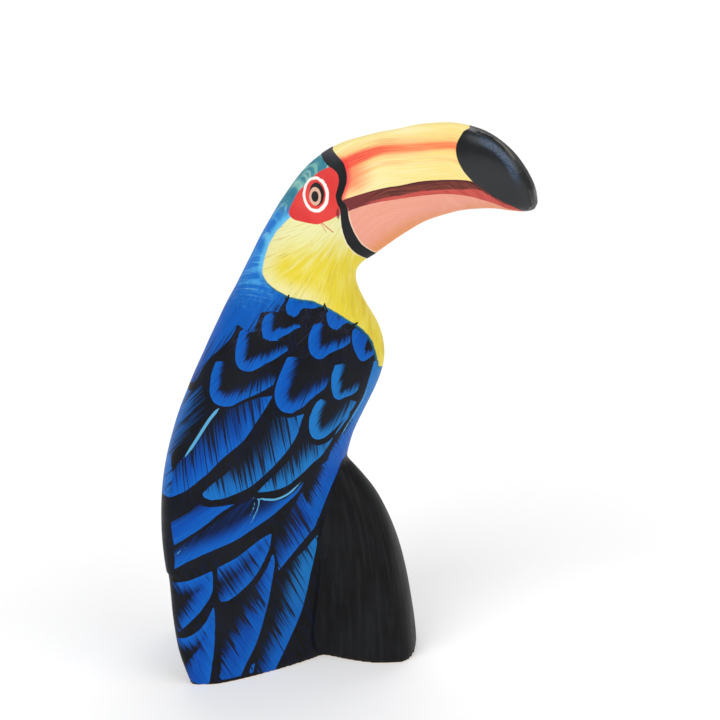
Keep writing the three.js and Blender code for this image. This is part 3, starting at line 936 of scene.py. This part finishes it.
gloss_black = over(fade(cloud, 0.4, 0.65), pigment(18, 20, 23), pigment(26, 29, 34))
# A painted highlight: a mottled blue-grey sheen painted on the tip's flat cheek, a few
# millimetres inside its rim.
mottle = put("TexNoise", {"Vector": place, "Scale": 1.1, "Detail": 4.0, "Roughness": 0.7})
tip_painted_highlight = times(fade(off(cheek, 3.4), 3.0, 0.8),
             times(fade(z, 264, 277), fade(mottle, 0.36, 0.56)))
tip_painted_highlight = times(tip_painted_highlight, fade(x, 97, 107))
gloss_black = over(tip_painted_highlight, gloss_black, pigment(72, 96, 126), 0.75)
# Painted shade: the bevelled band outside the rim is painted darker.
gloss_black = over(fade(cheek, 0.5, 0.1), gloss_black, pigment(12, 13, 14))
# A painted highlight: a thin pale line painted along the ridge of the rim near its top.
ridge_painted_highlight = times(fade(off(cheek, -0.3), 0.35, 0.1), times(fade(z, 279, 282), fade(z, 292, 290)))
gloss_black = over(ridge_painted_highlight, gloss_black, pigment(160, 148, 126), 0.6)
bill = over(edge_of(plus(tip, times(wobble, 0.2))), bill, gloss_black)
colour = over(edge_of(beak, 0.2), colour, bill)
left_bare = times(fade(off(ring, -0.3), 0.5, 0.1), fade(z, 260, 254))
colour = over(left_bare, colour, pigment(250, 236, 214), 0.6)
ring_black = over(fade(cloud, 0.4, 0.65), pigment(26, 27, 28), pigment(36, 38, 40))
# Painted highlight: the top of the black band is painted a lighter grey.
ring_black = over(fade(z, 281, 289), ring_black, pigment(66, 67, 72))
colour = over(edge_of(plus(ring, times(wobble, 0.4))), colour, ring_black)
colour = over(dab(oval(25.4, 256.6, 0.9, 2.8), 0.2), colour, pigment(128, 42, 46), 0.8)

# The bare sawn underside, with its grain, and paint a little over its edge.
grain = brush(y, x, 3.0, 0.5, 0.03, 4.0)
sawn = over(fade(grain, 0.35, 0.7), pigment(206, 170, 122), pigment(178, 138, 92))
colour = over(fade(plus(z, times(wobble, 0.1)), 0.2, 0.05), colour, sawn)

# The varnish: satin where the brush strokes show, glossy on the black tip of the beak.
strokes = brush(plus(times(x, 0.9), times(y, 0.5)), z, 1.0, 0.9, 0.12)
is_tip = times(edge_of(tip), edge_of(beak))
rough = put("MapRange", {0: strokes, 1: 0.3, 2: 0.7, 3: 0.44, 4: 0.56})
rough = put("Mix", {0: is_tip, 2: rough, 3: 0.3})
height = plus(times(strokes, 0.6), times(fine, 0.4))
height = put("Bump", {"Strength": 0.25, "Distance": 0.0004, "Height": height})
gloss = put("Mix", {0: is_tip, 2: 0.03, 3: 0.7})
skin = put("BsdfPrincipled",
           {"Base Color": colour, "Roughness": rough, "Normal": height, "Coat Weight": gloss,
            "Coat Roughness": 0.22, "Specular IOR Level": 0.11})
links.new(skin, nodes.new("ShaderNodeOutputMaterial").inputs["Surface"])
carving.data.materials.append(paint)

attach(carving, "root")
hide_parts("toucan_carving")

# The table that it stands on: one wide sheet of matt white paper, which glows a little so that
# it stays white in the shade.
SHEET_GREY = 0.84
SHEET_GLOW = 0.22

bpy.ops.object.select_all(action="DESELECT")
bpy.ops.mesh.primitive_plane_add(size=60, location=(0, 0, -0.0002))
table = bpy.context.object
table.name = "white_table"
sheet = bpy.data.materials.new("white_sheet")
sheet.use_nodes = True
sheet_skin = sheet.node_tree.nodes["Principled BSDF"]
sheet_skin.inputs["Roughness"].default_value = 0.9
sheet_skin.inputs["Base Color"].default_value = (SHEET_GREY, SHEET_GREY, SHEET_GREY, 1)
sheet_skin.inputs["Specular IOR Level"].default_value = 0.1
sheet_skin.inputs["Emission Color"].default_value = (1, 1, 1, 1)
sheet_skin.inputs["Emission Strength"].default_value = SHEET_GLOW
table.data.materials.append(sheet)

# The studio: a white tent that lights the bird dimly from all round and looks plain white past
# the table, with large soft lamps in front on the left and the right and one behind.
WHITE = (1, 1, 1, 1)
TENT_LIGHT = 0.33

scene = bpy.context.scene
scene.view_settings.view_transform = "Standard"
world = bpy.data.worlds.new("white_tent")
scene.world = world
world.use_nodes = True
sky, join = world.node_tree.nodes, world.node_tree.links.new
tent = sky["Background"]
tent.inputs["Color"].default_value = WHITE
tent.inputs["Strength"].default_value = TENT_LIGHT
seen = sky.new("ShaderNodeBackground")
seen.inputs["Color"].default_value = WHITE
either = sky.new("ShaderNodeMixShader")
join(sky.new("ShaderNodeLightPath").outputs["Is Camera Ray"], either.inputs[0])
join(tent.outputs[0], either.inputs[1])
join(seen.outputs[0], either.inputs[2])
join(either.outputs[0], sky["World Output"].inputs[0])


def softbox(name, come_from, strength, spread):
    """A big far lamp, so soft that its light is even over the whole table."""
    light = bpy.data.lights.new(name, "SUN")
    light.energy = strength
    light.angle = math.radians(spread)
    holder = bpy.data.objects.new(name, light)
    holder.rotation_euler = (-Vector(come_from)).to_track_quat("-Z", "Y").to_euler()
    scene.collection.objects.link(holder)


softbox("soft_front_left", (-0.8, -1.0, 1.1), 1.3, 40)
softbox("soft_front_right", (1.1, -0.8, 0.9), 0.8, 50)
softbox("soft_back", (0.1, 1.0, 1.3), 1.0, 50)

# The camera: 0.93 m from the bird on its right side and 15 degrees above it, rolled slightly.
CAMERA = (0.0343, -0.892, 0.416)
AIM = (0.0343, 0, 0.1705)
LENS, SENSOR = 83.6, 36
ROLL = -2.0

camera = bpy.data.cameras.new("camera")
camera.lens = LENS
camera.sensor_width = SENSOR
eye = bpy.data.objects.new("camera", camera)
eye.location = CAMERA
turn = (Vector(AIM) - Vector(CAMERA)).to_track_quat("-Z", "Y").to_matrix().to_4x4()
eye.rotation_euler = (turn @ Matrix.Rotation(math.radians(ROLL), 4, "Z")).to_euler()
scene.collection.objects.link(eye)
scene.camera = eye
